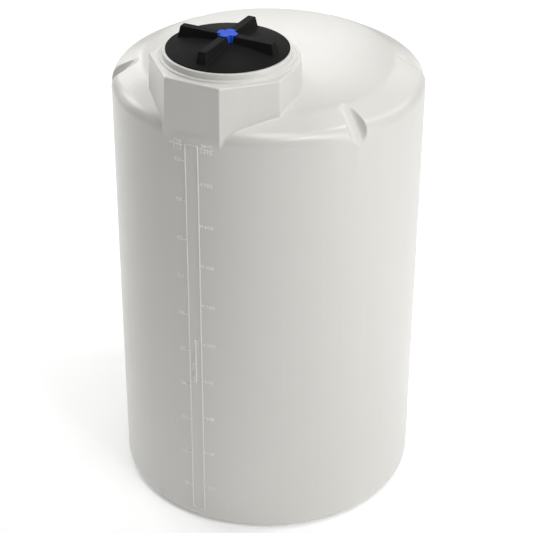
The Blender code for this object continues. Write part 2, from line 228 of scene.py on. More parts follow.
def run_of(radius, height):
    """Run along the outer line of points that lie on the roof, shoulder or wall."""
    on_arc = WALL_RUN - np.arctan2(height - FILLET_Z, radius - FILLET_R) * SHOULDER_FILLET
    on_roof = np.interp(radius, RUN_R[:ROOF_STATIONS], RUN[:ROOF_STATIONS])
    result = np.where(radius <= CONE_END, on_roof, on_arc)
    return np.where(height <= FILLET_Z, WALL_RUN + FILLET_Z - height, result)


def tank_distance(points):
    radius = np.hypot(points[:, 0], points[:, 1])
    height = points[:, 2]
    slope = (roof_height(radius + 1e-4) - roof_height(np.abs(radius - 1e-4))) / 2e-4
    above = (height - roof_height(radius)) / np.sqrt(1 + slope ** 2)
    out, up = radius - FILLET_R, height - FILLET_Z
    arc = np.hypot(out, up) - SHOULDER_FILLET
    on_arc = (up > 0) & (out > up * math.tan(CONE_ANGLE))
    return np.where(up <= 0, radius - RADIUS, np.where(on_arc, arc, above))


def neck_side(height):
    upper = DECK_APOTHEM + (DECK_HEIGHT - height) * math.tan(math.radians(2.0))
    lower = NECK_KNEE_APOTHEM - (NECK_KNEE - height) * NECK_TAPER
    return smooth_min(upper, lower, 0.002)


def neck_distance(points):
    across, along = points[:, 0], points[:, 1] + NECK_OFFSET
    turn = np.arctan2(across, -along)
    local = turn - np.round(turn / QUARTER) * QUARTER
    reach = np.hypot(across, along)
    side = neck_side(points[:, 2]) - NECK_EDGE
    ahead = reach * np.cos(local) - side
    over = reach * np.abs(np.sin(local)) - side * math.tan(EIGHTH)
    flat = np.where(over > 0, np.hypot(ahead, over), ahead)
    return np.where(along > 0, reach - side, flat) - NECK_EDGE


def shell_distance(points):
    return smooth_min(tank_distance(points), neck_distance(points), FOOT_BLEND)


def slope_of(distance, points):
    """Slope of a distance at each point."""
    step = 5e-5
    slope = np.empty_like(points)
    for axis in range(3):
        shift = np.zeros(3)
        shift[axis] = step
        slope[:, axis] = (distance(points + shift) - distance(points - shift)) / (2 * step)
    return slope


def settle(points, level):
    """Moves points onto the smooth joint of tank and neck, at a depth inside it."""
    for _ in range(6):
        value = shell_distance(points) - level
        slope = slope_of(shell_distance, points)
        points = points - slope * (value / np.maximum((slope ** 2).sum(1), 0.2))[:, None]
    return points


def lifted(points, distance):
    """Points moved out along the tank's own normal."""
    slope = slope_of(tank_distance, points)
    slope /= np.linalg.norm(slope, axis=1)[:, None]
    return points + slope * distance


def over_groove(radius, height):
    """How far a point is over the line along a groove's bottom, square to it."""
    along = np.array(GROOVE_FOOT) - np.array(GROOVE_TIP)
    along /= np.linalg.norm(along)
    return (radius - GROOVE_TIP[0]) * -along[1] + (height - GROOVE_TIP[1]) * along[0]


def groove_depth(run, turn, level):
    """How far the shell is sunk along its normal at a groove, from its unsunk outer line."""
    radius, height, out, up = section(run)
    gaps = [np.abs(np.angle(np.exp(1j * (turn - centre)))) for centre in GROOVE_ANGLES]
    nearest = np.min(gaps, axis=0)
    low = np.full(run.shape, -level - 0.004)
    high = np.full(run.shape, 0.06)
    for _ in range(34):
        middle = (low + high) / 2
        reach = radius - middle * out
        rise = height - middle * up
        sunk = np.minimum(over_groove(reach * np.cos(nearest), rise) - GROOVE_RADIUS, 0.0)
        groove = GROOVE_RADIUS - np.hypot(reach * np.sin(nearest), sunk)
        value = smooth_max(-middle, groove, GROOVE_EDGE) - level
        inside = value > 0
        low = np.where(inside, middle, low)
        high = np.where(inside, high, middle)
    near = (nearest < GROOVE_TURN) & (height > 1.66) & (radius > 0.40)
    return np.where(near, (low + high) / 2, -level)


def shell_points(run, turn, level):
    radius, height, out, up = section(run)
    depth = groove_depth(run, turn, level)
    reach, rise = radius - depth * out, height - depth * up
    return np.stack([reach * np.sin(turn), -reach * np.cos(turn), rise], axis=-1)


def plane_of(points):
    """Shell points laid out flat round the crown, at their run from it."""
    turn = np.arctan2(points[:, 0], -points[:, 1])
    run = run_of(np.hypot(points[:, 0], points[:, 1]), points[:, 2])
    return np.stack([run * np.sin(turn), -run * np.cos(turn)], axis=-1)


def from_plane(flat, level):
    return shell_points(np.hypot(flat[:, 0], flat[:, 1]), np.arctan2(flat[:, 0], -flat[:, 1]), level)


# Helpers for meshes

def loft(count, rows, start=0):
    """Quads between rows of the same number of points, which wrap round."""
    faces = []
    for row in range(rows - 1):
        for column in range(count):
            after = (column + 1) % count
            low = start + row * count
            faces.append((low + column, low + count + column, low + count + after, low + after))
    return faces


def crossings(points, first, second):
    """Whether each point is inside the closed outline made of these edges."""
    inside = np.zeros(len(points), bool)
    for start, end in zip(first, second):
        spans = (start[1] > points[:, 1]) != (end[1] > points[:, 1])
        slope = (end[0] - start[0]) / (end[1] - start[1] if abs(end[1] - start[1]) > 1e-12 else 1e-12)
        inside ^= spans & (points[:, 0] < start[0] + slope * (points[:, 1] - start[1]))
    return inside


def edge_distance(points, first, second):
    best = np.full(len(points), 1e9)
    for start, end in zip(first, second):
        along = end - start
        share = np.clip(((points - start) @ along) / max(along @ along, 1e-12), 0.0, 1.0)
        gap = points - start - share[:, None] * along
        best = np.minimum(best, np.hypot(gap[:, 0], gap[:, 1]))
    return best


def add_piece(name, vertices, faces, material, body, nodes=(), even=True, turn_out=False):
    mesh = bpy.data.meshes.new(name)
    mesh.from_pydata([tuple(map(float, vertex)) for vertex in vertices], [], faces)
    mesh.validate()
    if turn_out:
        shape = bmesh.new()
        shape.from_mesh(mesh)
        bmesh.ops.recalc_face_normals(shape, faces=shape.faces)
        shape.to_mesh(mesh)
        shape.free()
    mesh.shade_smooth()
    mesh.materials.append(material)
    obj = bpy.data.objects.new(name, mesh)
    bpy.context.scene.collection.objects.link(obj)
    if even:
        modifier = obj.modifiers.new("even_shading", "WEIGHTED_NORMAL")
        modifier.keep_sharp = True
        modifier.weight = 50
    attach(obj, body)
    if nodes:
        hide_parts(*nodes)
    return obj


# Materials

def principled(name):
    material = bpy.data.materials.new(name)
    material.use_nodes = True
    return material, material.node_tree, material.node_tree.nodes["Principled BSDF"]


def fill(tree, node, inputs):
    """Gives each of a node's inputs its value, or links it to another node's output."""
    for name, source in inputs.items():
        if isinstance(source, bpy.types.NodeSocket):
            tree.links.new(source, node.inputs[name])
        else:
            node.inputs[name].default_value = source


def add_node(tree, kind, output, inputs):
    node = tree.nodes.new(kind)
    fill(tree, node, inputs)
    return node.outputs[output]


def noise(tree, scale, detail, rough, stretch=None):
    place = add_node(tree, "ShaderNodeTexCoord", "Object", {})
    if stretch is not None:
        place = add_node(tree, "ShaderNodeMapping", "Vector", {"Vector": place, "Scale": stretch})
    return add_node(tree, "ShaderNodeTexNoise", "Fac",
                    {"Vector": place, "Scale": scale, "Detail": detail, "Roughness": rough})


def ranged(tree, source, low, high):
    """Spreads the values that a noise mostly has over a range."""
    return add_node(tree, "ShaderNodeMapRange", "Result",
                    {"Value": source, "From Min": 0.3, "From Max": 0.7, "To Min": low, "To Max": high})


def mixed(tree, factor, first, second):
    stage = tree.nodes.new("ShaderNodeMix")
    stage.data_type = "RGBA"
    fill(tree, stage, {"A": (*first, 1.0), "B": (*second, 1.0), "Factor": factor})
    return stage.outputs["Result"]


def bumped(tree, height, distance, strength, **under):
    return add_node(tree, "ShaderNodeBump", "Normal",
                    {"Distance": distance, "Strength": strength, "Height": height, **under})


def natural_polyethylene(name, light=(0.654, 0.645, 0.612), dark=(0.634, 0.625, 0.592)):
    """Milky rotationally moulded plastic: soft sheen, clouds, upright streaks and fine orange peel."""
    material, tree, shader = principled(name)
    cloud = noise(tree, 2.6, 4.0, 0.55, (1.0, 1.0, 0.45))
    streak = noise(tree, 70.0, 2.0, 0.5, (1.0, 1.0, 0.012))
    both = add_node(tree, "ShaderNodeMath", "Value",
                    {0: ranged(tree, cloud, 0.0, 0.55), 1: ranged(tree, streak, 0.0, 0.45)})
    smear = noise(tree, 9.0, 5.0, 0.6)
    wave = noise(tree, 14.0, 2.0, 0.4, (1.0, 1.0, 0.6))
    peel = noise(tree, 330.0, 3.0, 0.55)
    fill(tree, shader, {
        "Base Color": mixed(tree, both, light, dark),
        "Roughness": ranged(tree, smear, 0.285, 0.335),
        "Normal": bumped(tree, peel, 0.0004, 0.16, Normal=bumped(tree, wave, 0.004, 0.10)),
        "Subsurface Weight": 0.12, "Subsurface Radius": (1.0, 0.95, 0.8), "Subsurface Scale": 0.006,
        "IOR": 1.49, "Specular IOR Level": 0.85})
    return material


def moulded_polypropylene(name, light, dark, rough_low, rough_high, shine):
    """Solid injection-moulded plastic with a fine spark-eroded grain and faint handling marks."""
    material, tree, shader = principled(name)
    cloud = noise(tree, 11.0, 5.0, 0.6)
    smear = noise(tree, 26.0, 6.0, 0.65)
    grain = noise(tree, 900.0, 2.0, 0.5)
    fill(tree, shader, {
        "Base Color": mixed(tree, ranged(tree, cloud, 0.0, 1.0), light, dark),
        "Roughness": ranged(tree, smear, rough_low, rough_high),
        "Normal": bumped(tree, grain, 0.0002, 0.25),
        "IOR": 1.49, "Specular IOR Level": shine})
    return material


def seal_rubber(name):
    material, tree, shader = principled(name)
    cloud = noise(tree, 40.0, 4.0, 0.6)
    grain = noise(tree, 1400.0, 2.0, 0.5)
    share = ranged(tree, cloud, 0.0, 1.0)
    fill(tree, shader, {
        "Base Color": mixed(tree, share, (0.030, 0.030, 0.030), (0.045, 0.044, 0.043)),
        "Roughness": ranged(tree, cloud, 0.62, 0.78),
        "Normal": bumped(tree, grain, 0.0001, 0.3)})
    return material


shell_material = natural_polyethylene("natural_polyethylene")
inside_material = natural_polyethylene("polyethylene_inside", (0.60, 0.595, 0.57), (0.57, 0.565, 0.54))
lid_material = moulded_polypropylene("black_polypropylene", (0.0150, 0.0150, 0.0145),
                                     (0.0128, 0.0128, 0.0124), 0.46, 0.56, 0.02)
vent_material = moulded_polypropylene("blue_polypropylene", (0.016, 0.080, 0.580), (0.013, 0.070, 0.530),
                                      0.38, 0.46, 0.10)
# The gauge's beads, marks and numbers are moulded in the shell's own polyethylene. These two lighter copies
# of it are painted light, which makes the raised relief read brighter than the wall.
painted_light_rail_material = natural_polyethylene("polyethylene_rails_painted_light", (0.80, 0.79, 0.76), (0.77, 0.76, 0.73))
painted_light_mark_material = natural_polyethylene("polyethylene_marks_painted_light", (0.93, 0.92, 0.89), (0.88, 0.87, 0.84))
seal_material = seal_rubber("seal_rubber")


# The moulded shell and its inside

def neck_columns():
    """Columns round the neck: turn of the flat side, place along it, and turn round its rounded edge."""
    shares = (PIN_STRIP, .12, .2, .3, .4, .5, .6, .7, .8, .88, .95, 1)
    shares = [-share for share in reversed(shares)] + list(shares)
    edge = [QUARTER * step / 6 for step in range(1, 6)]
    columns = []
    for side in (0, 1, 2, 6, 7):
        if side == 6:
            columns += [(2 * QUARTER + math.pi * step / 64, 0.0, 0.0) for step in range(65)]
        columns += [(side * QUARTER, share, 0.0) for share in shares
                    if side not in (2, 6) or (share > 0) == (side == 6)]
        if side != 2:
            columns += [(side * QUARTER, 1.0, bend) for bend in edge]
    return np.array(columns)


COLUMNS = neck_columns()
# Rows on the neck's deck, and the row of its sides just above the pin marks
DECK_ROWS = 10
PIN_STATION = 3


def column_at(face, share):
    """Number of the column at this place on a flat side."""
    gap = np.abs(COLUMNS[:, 0] - face * QUARTER) + np.abs(COLUMNS[:, 1] - share) + np.abs(COLUMNS[:, 2])
    return int(np.argmin(gap))


def neck_outline(apothem, edge):
    """Point of each column on the neck of this half width, flat in front and round behind."""
    inner = apothem - edge
    turn, share, bend = COLUMNS[:, 0], COLUMNS[:, 1], COLUMNS[:, 2]
    half = inner * math.tan(EIGHTH) * share
    across = inner * np.sin(turn) + half * np.cos(turn) + edge * np.sin(turn + bend)
    along = -inner * np.cos(turn) + half * np.sin(turn) - edge * np.cos(turn + bend)
    return across, along - NECK_OFFSET


def neck_row(height, level, sink=0.0):
    height = np.broadcast_to(height, (len(COLUMNS),)).astype(float)
    across, along = neck_outline(neck_side(height) + level - sink, NECK_EDGE)
    return np.stack([across, along, height], axis=-1)


def deck_rows(level, hole):
    """Rows from the mouth outwards over the deck and round its edge."""
    top, fillet = DECK_HEIGHT + level, DECK_FILLET + level * 0.5
    rim = neck_row(top, level, fillet)
    turn = np.arctan2(rim[:, 0], -(rim[:, 1] + NECK_OFFSET))
    ring = np.stack([hole * np.sin(turn), -NECK_OFFSET - hole * np.cos(turn), np.full(len(turn), top)],
                    axis=-1)
    rows = [ring * (1 - share) + rim * share for share in (0.0, 0.35, 0.7)]
    for step in range(DECK_ROWS - len(rows)):
        angle = math.pi / 2 * (1 - step / 6)
        rows.append(neck_row(top - fillet * (1 - math.sin(angle)), level, fillet * (1 - math.cos(angle))))
    return rows


def foot_heights(level):
    """Height at which each column of the neck meets the tank."""
    low = np.full(len(COLUMNS), 1.69)
    high = np.full(len(COLUMNS), 1.95)
    for _ in range(40):
        middle = (low + high) / 2
        outside = tank_distance(neck_row(middle, level)) > level
        high = np.where(outside, middle, high)
        low = np.where(outside, low, middle)
    return (low + high) / 2


def side_rows(level, start, end):
    """Rows down the neck's sides, two of which frame the pin marks."""
    shares = (0.12, 0.25, 0.38, 0.52, 0.58, 0.68, 0.80, 0.90)
    heights = [start + (end - start) * share for share in shares]
    if level == 0.0:
        for face, centre in PIN_MARKS:
            for column in (column_at(face, -PIN_STRIP), column_at(face, PIN_STRIP)):
                heights[PIN_STATION][column] = centre + PIN_HALF
                heights[PIN_STATION + 1][column] = centre - PIN_HALF
    return [neck_row(height, level) for height in heights]


def outward_of(flat):
    """Smoothed direction away from the neck at each point of its foot, laid out flat."""
    tangent = np.roll(flat, -1, axis=0) - np.roll(flat, 1, axis=0)
    outward = np.stack([-tangent[:, 1], tangent[:, 0]], axis=-1)
    outward /= np.linalg.norm(outward, axis=1)[:, None]
    outward *= np.sign(((flat - (0.0, -NECK_OFFSET)) * outward).sum(1))[:, None]
    for _ in range(6):
        outward = (outward + np.roll(outward, 1, axis=0) + np.roll(outward, -1, axis=0)) / 3
        outward /= np.linalg.norm(outward, axis=1)[:, None]
    return outward


def neck_rows(level, hole):
    """Rows of the neck from the mouth outwards over the deck, down its sides and out over the roof."""
    rows = deck_rows(level, hole)
    start, foot = rows[-1][:, 2], foot_heights(level)
    reach = np.minimum(FOOT_REACH, (start - foot) * 0.5)
    rows += side_rows(level, start, foot + reach)
    shares = (1.0, 0.76, 0.55, 0.39, 0.27, 0.18, 0.11, 0.05, 0.0)
    lower = [neck_row(foot + reach * share, level) for share in shares]
    flat = plane_of(lower[-1])
    outward = outward_of(flat)
    for distance in (0.0012, 0.0026, 0.0044, 0.0066, 0.0094, 0.0130, 0.0175, 0.0240):
        lower.append(from_plane(flat + outward * distance, level))
    return rows + [settle(row, level) for row in lower]


def dimple(vertices, faces, corners, centre, normal, across, up):
    """Small round pin mark, sunk into a square left open in a flat side."""
    start = len(vertices)
    for radius, depth in ((0.0024, 0.0), (0.0021, 0.0004), (0.0019, 0.0012), (0.0012, 0.0016)):
        for step in range(16):
            angle = math.radians(-135 + 22.5 * step)
            vertices.append(centre + across * radius * math.cos(angle) + up * radius * math.sin(angle)
                            - normal * depth)
    vertices.append(centre - normal * 0.0017)
    for side in range(4):
        first, second = corners[side], corners[(side + 1) % 4]
        ring = [start + (4 * side + step) % 16 for step in range(5)]
        faces += [(first, second, ring[2]), (first, ring[2], ring[1]), (first, ring[1], ring[0]),
                  (second, ring[3], ring[2]), (second, ring[4], ring[3])]
    for level in range(3):
        for step in range(16):
            after = (step + 1) % 16
            low = start + level * 16
            faces.append((low + step, low + after, low + 16 + after, low + 16 + step))
    last = start + 48
    faces += [(last + step, last + (step + 1) % 16, start + 64) for step in range(16)]


def groove_columns(fine):
    """Columns round the tank: turn, and distance to its side in half widths of a groove."""
    if fine:
        shares = (0, .1, .2, .3, .4, .5, .6, .7, .78, .84, .89, .93, .96, .985, 1.01, 1.035, 1.07, 1.12, 1.2,
                  1.35, 1.6)
    else:
        shares = (0, .3, .6, .85, 1.0, 1.2, 1.5)
    signed = sorted({-share for share in shares} | set(shares))
    step = math.radians(1.6 if fine else 4.0)
    ends = [(GROOVE_ANGLES[4] - 2 * math.pi, GROOVE_ANGLES[0])]
    ends += [(GROOVE_ANGLES[index], GROOVE_ANGLES[index + 1]) for index in range(4)]
    columns = []
    for first, second in ends:
        start, end = first + GROOVE_MARGIN, second - GROOVE_MARGIN
        count = max(2, round((end - start) / step))
        columns += [(start + (end - start) * index / count, 0.0) for index in range(count + 1)]
        columns += [(second, share) for share in signed]
    return np.array(columns)


def grid_runs(fine):
    """Run of each row of the grid, from the shoulder down the wall and round the base to the floor."""
    arc_end = BASE_RUN + BASE_FILLET * math.pi / 2
    runs = list(np.arange(GRID_START, GROOVE_END, 0.0036 if fine else 0.012))
    runs += list(np.linspace(GROOVE_END, BASE_RUN, 12))
    runs += list(np.linspace(BASE_RUN, arc_end, 14 if fine else 7)[1:])
    runs += list(np.linspace(arc_end, RUN_END - 0.03, 7)[1:])
    return np.array(runs)


def grid_turns(runs, columns):
    """Turn of each point of the grid, whose columns follow the grooves' changing width."""
    radius, height, _, _ = section(runs)
    above = np.clip(over_groove(radius, height), 0.0, GROOVE_RADIUS)
    width = np.sqrt(2 * GROOVE_RADIUS * above - above ** 2 + 0.0045 ** 2)
    ease = np.clip((runs - GROOVE_END) / 0.25, 0.0, 1.0)
    width = width * (1 - ease) + 0.032 * ease
    return columns[None, :, 0] + columns[None, :, 1] * (width / np.maximum(radius, 0.30))[:, None]


def border_of(quads, last):
    """Edges that only one quad has, apart from those of the last row."""
    edges = Counter(tuple(sorted(edge)) for quad in quads for edge in zip(quad, quad[1:] + quad[:1]))
    return [edge for edge, used in edges.items() if used == 1 and edge[0] < last]


def loose_spots(grid, ring_edges, border_edges):
    """Staggered points between the neck's ring and the border of the grid."""
    spots = np.array([(x + grid / 2 * (number % 2), y)
                      for number, y in enumerate(np.arange(-0.95, 0.60, grid * 0.87))
                      for x in np.arange(-0.62, 0.62, grid)])
    spots = spots[crossings(spots, *border_edges)]
    spots = spots[~crossings(spots, *ring_edges)]
    spots = spots[edge_distance(spots, *ring_edges) > grid * 0.5]
    return spots[edge_distance(spots, *border_edges) > grid * 0.45]


def stitched(flat, border, border_edges, ring_edges, spots, ring_start):
    """Triangles that join the border of the grid to the neck's ring, by way of the loose spots."""
    used = sorted(set(index for edge in border for index in edge))
    place = {index: number for number, index in enumerate(used)}
    size = len(ring_edges[0])
    sites = [Vector(site) for site in [*flat[used], *ring_edges[0], *spots]]
    lines = [(place[start], place[end]) for start, end in border]
    lines += [(len(used) + index, len(used) + (index + 1) % size) for index in range(size)]
    found = delaunay_2d_cdt(sites, lines, [], 0, 1e-7, True)
    triangles = np.array([tuple(face) for face in found[2]])
    centres = np.array([tuple(site) for site in found[0]])[triangles].mean(axis=1)
    wanted = crossings(centres, *border_edges) & ~crossings(centres, *ring_edges)
    numbers = used + list(range(ring_start, ring_start + size + len(spots)))
    origin = [numbers[group[0]] for group in found[3]]
    return [tuple(origin[corner] for corner in triangle) for triangle in triangles[wanted]]


def with_pin_marks(vertices, faces, patch_start):
    """Faces of the neck with a pin mark in each of the squares that take one."""
    for face, _ in PIN_MARKS:
        low = patch_start + (DECK_ROWS + PIN_STATION) * len(COLUMNS) + column_at(face, -PIN_STRIP)
        corners = (low + len(COLUMNS), low + len(COLUMNS) + 1, low + 1, low)
        faces = [quad for quad in faces if set(quad) != set(corners)]
        across = np.array([math.cos(face * QUARTER), math.sin(face * QUARTER), 0.0])
        middle = sum(vertices[corner] for corner in corners) / 4
        rise = vertices[corners[3]] + vertices[corners[2]] - vertices[corners[0]] - vertices[corners[1]]
        rise = rise / np.linalg.norm(rise)
        dimple(vertices, faces, corners, middle, np.cross(across, rise), across, rise)
    return faces


def skin(level, fine, hole):
    """Vertices and faces of the shell's outer or inner skin."""
    columns, runs = groove_columns(fine), grid_runs(fine)
    turn = grid_turns(runs, columns)
    run = np.broadcast_to(runs[:, None], turn.shape)
    flat = np.stack([run * np.sin(turn), -run * np.cos(turn)], axis=-1).reshape(-1, 2)
    vertices = list(shell_points(run.ravel(), turn.ravel(), level))

    patch = neck_rows(level, hole)
    ring = plane_of(patch[-1] if level == 0.0 else lifted(patch[-1], -level))
    ring_edges = ring, np.roll(ring, -1, axis=0)
    near = np.hypot(flat[:, 0], flat[:, 1]) < NECK_ZONE
    free = np.ones(len(flat), bool)
    margin = 0.005 if fine else 0.010
    free[near] = ~crossings(flat[near], *ring_edges) & (edge_distance(flat[near], *ring_edges) > margin)

    count, rows = len(columns), len(runs)
    last = (rows - 1) * count
    faces = [quad for quad in loft(count, rows) if all(free[corner] for corner in quad)]
    border = border_of(faces, last)
    border_edges = tuple(flat[list(ends)] for ends in zip(*border))
    spots = loose_spots(0.0085 if fine else 0.025, ring_edges, border_edges)

    patch_start = len(vertices)
    vertices += [point for row in patch for point in row]
    faces += stitched(flat, border, border_edges, ring_edges, spots, len(vertices) - len(COLUMNS))
    vertices += list(from_plane(spots, level))
    patch_faces = loft(len(COLUMNS), len(patch), patch_start)
    if level == 0.0:
        patch_faces = with_pin_marks(vertices, patch_faces, patch_start)
    faces += patch_faces
    pole = len(vertices)
    vertices.append(np.array([0.0, 0.0, -level]))
    faces += [(last + column, pole, last + (column + 1) % count) for column in range(count)]
    return clean(vertices, faces)


def clean(vertices, faces):
    """Drops points that no face uses."""
    used = sorted(set(index for face in faces for index in face))
    place = {index: number for number, index in enumerate(used)}
    return [vertices[index] for index in used], [tuple(place[index] for index in face) for face in faces]


walls = [f"wall_{number:02d}" for number in range(1, 13)]
roofs = ["roof_crown"] + [f"roof_{number:02d}" for number in range(1, 13)]
sides = ("front", "front_right", "right", "back_right", "back", "back_left", "left", "front_left")
shell_nodes = ["floor", "neck_deck"] + walls + roofs + [f"neck_{side}" for side in sides]

vertices, faces = skin(0.0, True, SKIN_MOUTH)
shell = add_piece("tank_shell", vertices, faces, shell_material, "tank", shell_nodes, turn_out=True)

vertices, faces = skin(-WALL, False, LINING_MOUTH)
lining = add_piece("tank_inside", vertices, faces, inside_material, "tank", turn_out=True)
lining.data.flip_normals()


# Turned pieces round the neck's axis

def around(radius, height, angle):
    """Point at a turn round the neck's axis."""
    return radius * math.sin(angle), -NECK_OFFSET - radius * math.cos(angle), height


def closed_loft(rows):
    """Quads between rings, with the last ring joined to the first."""
    faces = loft(TURN_STEPS, rows)
    last = (rows - 1) * TURN_STEPS
    for step in range(TURN_STEPS):
        after = (step + 1) % TURN_STEPS
        faces.append((last + step, step, after, last + after))
    return faces


def turned(name, outline, material, body, nodes):
    vertices = [around(radius, height, 2 * math.pi * step / TURN_STEPS)
                for radius, height in outline for step in range(TURN_STEPS)]
    return add_piece(name, vertices, closed_loft(len(outline)), material, body, nodes, turn_out=True)


def rounded(points, radii, steps=5):
    """Open or closed outline with its corners rounded."""
    result = []
    count = len(points)
    for index in range(count):
        here = np.array(points[index])
        size = radii[index]
        if size <= 0:
            result.append(tuple(here))
            continue
        before, after = np.array(points[index - 1]), np.array(points[(index + 1) % count])
        back = (before - here) / np.linalg.norm(before - here)
        on = (after - here) / np.linalg.norm(after - here)
        half = math.acos(max(-1.0, min(1.0, float(back @ on)))) / 2
        cut_back = size / math.tan(half)
        centre = here + (back + on) / np.linalg.norm(back + on) * size / math.sin(half)
        first, last = here + back * cut_back - centre, here + on * cut_back - centre
        sweep = math.atan2(first[0] * last[1] - first[1] * last[0], float(first @ last))
        for step in range(steps + 1):
            turn = sweep * step / steps
            spin = np.array(((math.cos(turn), -math.sin(turn)), (math.sin(turn), math.cos(turn))))
            result.append(tuple(centre + spin @ first))
    return result


rim_outline = rounded(
    [(0.2400, 1.9655), (0.2590, 1.9655), (0.2590, 1.9691), (0.2550, 1.9695), (0.2528, 1.9712),
     (0.2515, 1.9740), (0.2506, 1.9772), (0.2416, 1.9783), (0.2392, LIP_HEIGHT), (LIP_INNER, LIP_HEIGHT),
     (LIP_INNER, LEDGE_HEIGHT), (MOUTH_BORE, LEDGE_HEIGHT), (MOUTH_BORE, 1.9620), (0.2125, 1.9620),
     (0.2125, 1.9655)],
    [0, 0, 0, 0, 0, 0, 0.0030, 0.003, 0.0042, 0.0012, 0.0008, 0.0012, 0.0015, 0, 0])
turned("mouth_rim", rim_outline, shell_material, "tank", ["mouth_collar"])

gasket_outline = rounded(
    [(0.2220, LID_UNDERSIDE - 0.0003), (0.2220, LEDGE_HEIGHT + 0.0003), (0.2085, LEDGE_HEIGHT + 0.0003),
     (0.2085, LID_UNDERSIDE - 0.0003)], [0.0011, 0.0011, 0.0011, 0.0011], 4)
turned("gasket_ring", gasket_outline, seal_material, "seal", ["lid_gasket"])


def lid_height(radius):
    """Shallow dome of the lid."""
    return LID_CENTRE - (LID_CENTRE - LID_EDGE) * (radius / LID_RADIUS) ** LID_BEND


dome = [(radius, lid_height(radius)) for radius in np.linspace(0.0006, LID_RADIUS - 0.004, 40)]
under = [(radius, lid_height(radius) - LID_THICKNESS)
         for radius in np.linspace(SKIRT_INNER - 0.002, 0.0006, 12)]
cover_outline = rounded(
    dome + [(LID_RADIUS, LID_EDGE), (LID_RADIUS, LID_UNDERSIDE), (SKIRT_INNER, LID_UNDERSIDE)] + under,
    [0] * len(dome) + [0.0016, 0.0008, 0] + [0] * len(under))
turned("lid_disc", cover_outline, lid_material, "lid", ["lid_cover"])


def lid_thread():
    """Skirt of the lid with a coarse single thread on its outside."""
    rows = 40
    vertices = []
    for row in range(rows + 1):
        height = SKIRT_BOTTOM + (LID_UNDERSIDE - SKIRT_BOTTOM) * row / rows
        for step in range(TURN_STEPS):
            phase = ((height - SKIRT_BOTTOM) / THREAD_PITCH - step / TURN_STEPS) % 1.0
            ridge = min(1.0, max(0.0, 1.0 - abs(phase - 0.5) / 0.26) * 1.9)
            fade = min(1.0, (height - SKIRT_BOTTOM) / 0.004, (LID_UNDERSIDE - height) / 0.004)
            radius = SKIRT_OUTER + (THREAD_CREST - SKIRT_OUTER) * ridge * fade
            vertices.append(around(radius, height, 2 * math.pi * step / TURN_STEPS))
    vertices += [around(SKIRT_INNER, height, 2 * math.pi * step / TURN_STEPS)
                 for height in (LID_UNDERSIDE, SKIRT_BOTTOM) for step in range(TURN_STEPS)]
    add_piece("lid_thread", vertices, closed_loft(rows + 3), lid_material, "lid", ["lid_skirt"],
              even=False, turn_out=True)


lid_thread()


# Grip ribs and vent cap

def rib_loop(drop, spread):
    """Outline of a rib along +X, this far below its top and this much wider."""
    half = RIB_HALF_TOP + drop * RIB_DRAFT + spread
    reach = RIB_TOP_END + drop * RIB_END_DRAFT + spread
    inner, bend = half - RIB_CORNER, reach - RIB_CORNER
    points = [(along, -half) for along in np.linspace(RIB_START, bend, 16)[:-1]]
    for side, start in ((-1, -90), (1, 0)):
        for step in range(6):
            turn = math.radians(start + 18 * step)
            points.append((bend + RIB_CORNER * math.cos(turn), side * inner + RIB_CORNER * math.sin(turn)))
        if side == -1:
            points += [(reach, inner * share) for share in (-0.5, 0.0, 0.5)]
    return points + [(along, half) for along in np.linspace(bend, RIB_START, 16)[1:]]


def rib_row(share, lift, spread=0.0):
    """Row part of the way down a rib's sides, measured to the lid's surface under each of its points."""
    drops = np.full(len(rib_loop(0.0, 0.0)), 0.03)
    for _ in range(4):
        points = [rib_loop(drop, spread)[index] for index, drop in enumerate(drops)]
        ends = [RIB_TOP - lid_height(min(math.hypot(x, y), LID_RADIUS)) - lift for x, y in points]
        drops = [RIB_EDGE + (end - RIB_EDGE) * share for end in ends]
    return [(x, y, RIB_TOP - drop) for (x, y), drop in zip(points, drops)]


def rib(name, number, node):
    """Grip rib: flat top, drafted sides and end, rounded edges and a small flare where it meets the lid."""
    rows = []
    for step in range(6):
        angle = math.pi / 2 * step / 5
        down = RIB_EDGE * (1 - math.cos(angle))
        loop = rib_loop(down, -RIB_EDGE * (1 - math.sin(angle)))
        rows.append([(x, y, RIB_TOP - down) for x, y in loop])
    rows += [rib_row(share, RIB_FLARE) for share in (0.2, 0.4, 0.6, 0.8, 1.0)]
    for step in range(1, 6):
        angle = math.pi / 2 * step / 5
        rows.append(rib_row(1.0, RIB_FLARE * (1 - math.sin(angle)), RIB_FLARE * (1 - math.cos(angle))))
    turn = number * math.pi / 2
    cos, sin = math.cos(turn), math.sin(turn)
    placed = [(y * cos + x * sin, y * sin - x * cos - NECK_OFFSET, z) for row in rows for x, y, z in row]
    faces = loft(len(rows[0]), len(rows))
    faces.append(tuple(range(len(rows[0]))))
    return add_piece(name, placed, faces, lid_material, "lid", [node], turn_out=True)


for number, side in enumerate(("front", "right", "back", "left")):
    rib(f"grip_rib_{side}", number, f"lid_rib_{side}")


